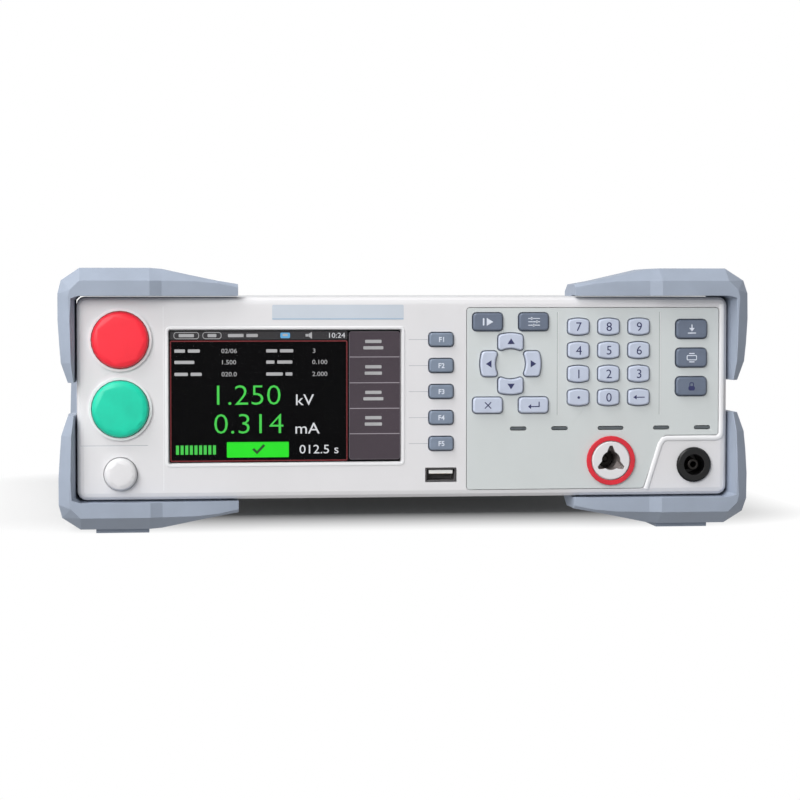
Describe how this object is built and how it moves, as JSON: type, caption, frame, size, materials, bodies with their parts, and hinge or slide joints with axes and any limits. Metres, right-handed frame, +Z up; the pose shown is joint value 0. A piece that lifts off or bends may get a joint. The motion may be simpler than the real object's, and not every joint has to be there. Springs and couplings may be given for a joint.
{
  "type": "hipot tester",
  "caption": "Bench withstand-voltage tester: low metal case with corner guards, display window, keypad, push buttons, high-voltage and return sockets, rear fan and mains inlet.",
  "frame": {"origin": "on the surface under the feet, below the middle of the case", "axes": "+Z up, +X to the right seen from the front, front panel faces -Y"},
  "size_m": [0.3028, 0.385, 0.1151],
  "materials": {
    "white_plastic": "fine moulded texture, off-white",
    "pale_key": "satin moulded key",
    "grey_key": "satin moulded key",
    "blue_grey_key": "satin moulded key",
    "red_button": "glossy moulded button",
    "green_button": "glossy moulded button",
    "plate_film": "printed film on a flat plate, satin",
    "window_acrylic": "clear hard-coated window over the display",
    "circuit_board": "solder-masked glass-fibre board",
    "keypad_rubber": "silicone keypad mat",
    "light_guide": "smoked clear plastic",
    "plated_steel": "plated connector shell",
    "red_ring": "glossy moulded ring",
    "contact_metal": "plated contact",
    "black_plastic": "moulded insulating plastic",
    "interface_board": "board with moulded connectors",
    "zinc_sheet": "zinc-plated sheet",
    "painted_steel": "fine textured paint on sheet steel",
    "transformer_iron": "laminated iron with taped winding",
    "guard_rubber": "moulded grey-blue rubber"
  },
  "bodies": {
    "case": {"front_bezel": "white_plastic", "control_plate": "plate_film", "display_window": "window_acrylic", "display_board": "circuit_board", "indicator_lenses": "light_guide", "keypad_mat": "keypad_rubber", "key_board": "circuit_board", "usb_socket": "plated_steel", "high_voltage_bush": "white_plastic", "high_voltage_ring": "red_ring", "high_voltage_contact": "contact_metal", "return_socket": "black_plastic", "return_contact": "contact_metal", "chassis_tray": "zinc_sheet", "top_cover": "painted_steel", "rear_panel": "painted_steel", "guard_upper_left": "guard_rubber", "guard_upper_right": "guard_rubber", "guard_lower_left": "guard_rubber", "guard_lower_right": "guard_rubber", "rear_guard_left": "guard_rubber", "rear_guard_right": "guard_rubber", "fan_frame": "black_plastic", "mains_inlet": "black_plastic", "rear_interface": "interface_board", "main_board": "circuit_board", "high_voltage_transformer": "transformer_iron", "mains_transformer": "transformer_iron"},
    "key_f1": {"key_f1": "blue_grey_key"},
    "key_f2": {"key_f2": "blue_grey_key"},
    "key_f3": {"key_f3": "blue_grey_key"},
    "key_f4": {"key_f4": "blue_grey_key"},
    "key_f5": {"key_f5": "blue_grey_key"},
    "key_test": {"key_test": "grey_key"},
    "key_setup": {"key_setup": "grey_key"},
    "key_up": {"key_up": "pale_key"},
    "key_down": {"key_down": "pale_key"},
    "key_left": {"key_left": "pale_key"},
    "key_right": {"key_right": "pale_key"},
    "key_esc": {"key_esc": "pale_key"},
    "key_enter": {"key_enter": "pale_key"},
    "key_0": {"key_0": "pale_key"},
    "key_1": {"key_1": "pale_key"},
    "key_2": {"key_2": "pale_key"},
    "key_3": {"key_3": "pale_key"},
    "key_4": {"key_4": "pale_key"},
    "key_5": {"key_5": "pale_key"},
    "key_6": {"key_6": "pale_key"},
    "key_7": {"key_7": "pale_key"},
    "key_8": {"key_8": "pale_key"},
    "key_9": {"key_9": "pale_key"},
    "key_point": {"key_point": "pale_key"},
    "key_backspace": {"key_backspace": "pale_key"},
    "key_save": {"key_save": "grey_key"},
    "key_print": {"key_print": "grey_key"},
    "key_lock": {"key_lock": "grey_key"},
    "stop_button": {"stop_button": "red_button"},
    "start_button": {"start_button": "green_button"},
    "power_button": {"power_button": "white_plastic"},
    "fan_rotor": {"fan_rotor": "black_plastic"}
  },
  "joints": [
    {"name": "key_f1_press", "type": "slide", "parent": "case", "child": "key_f1", "axis": [0, 1, 0], "range_m": [0, 0.001], "stiffness_N_per_m": 300},
    {"name": "key_f2_press", "type": "slide", "parent": "case", "child": "key_f2", "axis": [0, 1, 0], "range_m": [0, 0.001], "stiffness_N_per_m": 300},
    {"name": "key_f3_press", "type": "slide", "parent": "case", "child": "key_f3", "axis": [0, 1, 0], "range_m": [0, 0.001], "stiffness_N_per_m": 300},
    {"name": "key_f4_press", "type": "slide", "parent": "case", "child": "key_f4", "axis": [0, 1, 0], "range_m": [0, 0.001], "stiffness_N_per_m": 300},
    {"name": "key_f5_press", "type": "slide", "parent": "case", "child": "key_f5", "axis": [0, 1, 0], "range_m": [0, 0.001], "stiffness_N_per_m": 300},
    {"name": "key_test_press", "type": "slide", "parent": "case", "child": "key_test", "axis": [0, 1, 0], "range_m": [0, 0.001], "stiffness_N_per_m": 300},
    {"name": "key_setup_press", "type": "slide", "parent": "case", "child": "key_setup", "axis": [0, 1, 0], "range_m": [0, 0.001], "stiffness_N_per_m": 300},
    {"name": "key_up_press", "type": "slide", "parent": "case", "child": "key_up", "axis": [0, 1, 0], "range_m": [0, 0.001], "stiffness_N_per_m": 300},
    {"name": "key_down_press", "type": "slide", "parent": "case", "child": "key_down", "axis": [0, 1, 0], "range_m": [0, 0.001], "stiffness_N_per_m": 300},
    {"name": "key_left_press", "type": "slide", "parent": "case", "child": "key_left", "axis": [0, 1, 0], "range_m": [0, 0.001], "stiffness_N_per_m": 300},
    {"name": "key_right_press", "type": "slide", "parent": "case", "child": "key_right", "axis": [0, 1, 0], "range_m": [0, 0.001], "stiffness_N_per_m": 300},
    {"name": "key_esc_press", "type": "slide", "parent": "case", "child": "key_esc", "axis": [0, 1, 0], "range_m": [0, 0.001], "stiffness_N_per_m": 300},
    {"name": "key_enter_press", "type": "slide", "parent": "case", "child": "key_enter", "axis": [0, 1, 0], "range_m": [0, 0.001], "stiffness_N_per_m": 300},
    {"name": "key_0_press", "type": "slide", "parent": "case", "child": "key_0", "axis": [0, 1, 0], "range_m": [0, 0.001], "stiffness_N_per_m": 300},
    {"name": "key_1_press", "type": "slide", "parent": "case", "child": "key_1", "axis": [0, 1, 0], "range_m": [0, 0.001], "stiffness_N_per_m": 300},
    {"name": "key_2_press", "type": "slide", "parent": "case", "child": "key_2", "axis": [0, 1, 0], "range_m": [0, 0.001], "stiffness_N_per_m": 300},
    {"name": "key_3_press", "type": "slide", "parent": "case", "child": "key_3", "axis": [0, 1, 0], "range_m": [0, 0.001], "stiffness_N_per_m": 300},
    {"name": "key_4_press", "type": "slide", "parent": "case", "child": "key_4", "axis": [0, 1, 0], "range_m": [0, 0.001], "stiffness_N_per_m": 300},
    {"name": "key_5_press", "type": "slide", "parent": "case", "child": "key_5", "axis": [0, 1, 0], "range_m": [0, 0.001], "stiffness_N_per_m": 300},
    {"name": "key_6_press", "type": "slide", "parent": "case", "child": "key_6", "axis": [0, 1, 0], "range_m": [0, 0.001], "stiffness_N_per_m": 300},
    {"name": "key_7_press", "type": "slide", "parent": "case", "child": "key_7", "axis": [0, 1, 0], "range_m": [0, 0.001], "stiffness_N_per_m": 300},
    {"name": "key_8_press", "type": "slide", "parent": "case", "child": "key_8", "axis": [0, 1, 0], "range_m": [0, 0.001], "stiffness_N_per_m": 300},
    {"name": "key_9_press", "type": "slide", "parent": "case", "child": "key_9", "axis": [0, 1, 0], "range_m": [0, 0.001], "stiffness_N_per_m": 300},
    {"name": "key_point_press", "type": "slide", "parent": "case", "child": "key_point", "axis": [0, 1, 0], "range_m": [0, 0.001], "stiffness_N_per_m": 300},
    {"name": "key_backspace_press", "type": "slide", "parent": "case", "child": "key_backspace", "axis": [0, 1, 0], "range_m": [0, 0.001], "stiffness_N_per_m": 300},
    {"name": "key_save_press", "type": "slide", "parent": "case", "child": "key_save", "axis": [0, 1, 0], "range_m": [0, 0.001], "stiffness_N_per_m": 300},
    {"name": "key_print_press", "type": "slide", "parent": "case", "child": "key_print", "axis": [0, 1, 0], "range_m": [0, 0.001], "stiffness_N_per_m": 300},
    {"name": "key_lock_press", "type": "slide", "parent": "case", "child": "key_lock", "axis": [0, 1, 0], "range_m": [0, 0.001], "stiffness_N_per_m": 300},
    {"name": "stop_button_press", "type": "slide", "parent": "case", "child": "stop_button", "axis": [0, 1, 0], "range_m": [0, 0.0025], "stiffness_N_per_m": 400},
    {"name": "start_button_press", "type": "slide", "parent": "case", "child": "start_button", "axis": [0, 1, 0], "range_m": [0, 0.0025], "stiffness_N_per_m": 400},
    {"name": "power_button_press", "type": "slide", "parent": "case", "child": "power_button", "axis": [0, 1, 0], "range_m": [0, 0.0025], "stiffness_N_per_m": 400},
    {"name": "fan_spin", "type": "hinge", "parent": "case", "child": "fan_rotor", "pos_m": [0.0885, 0.1662, 0.0586], "axis": [0, 1, 0], "continuous": true}
  ]
}
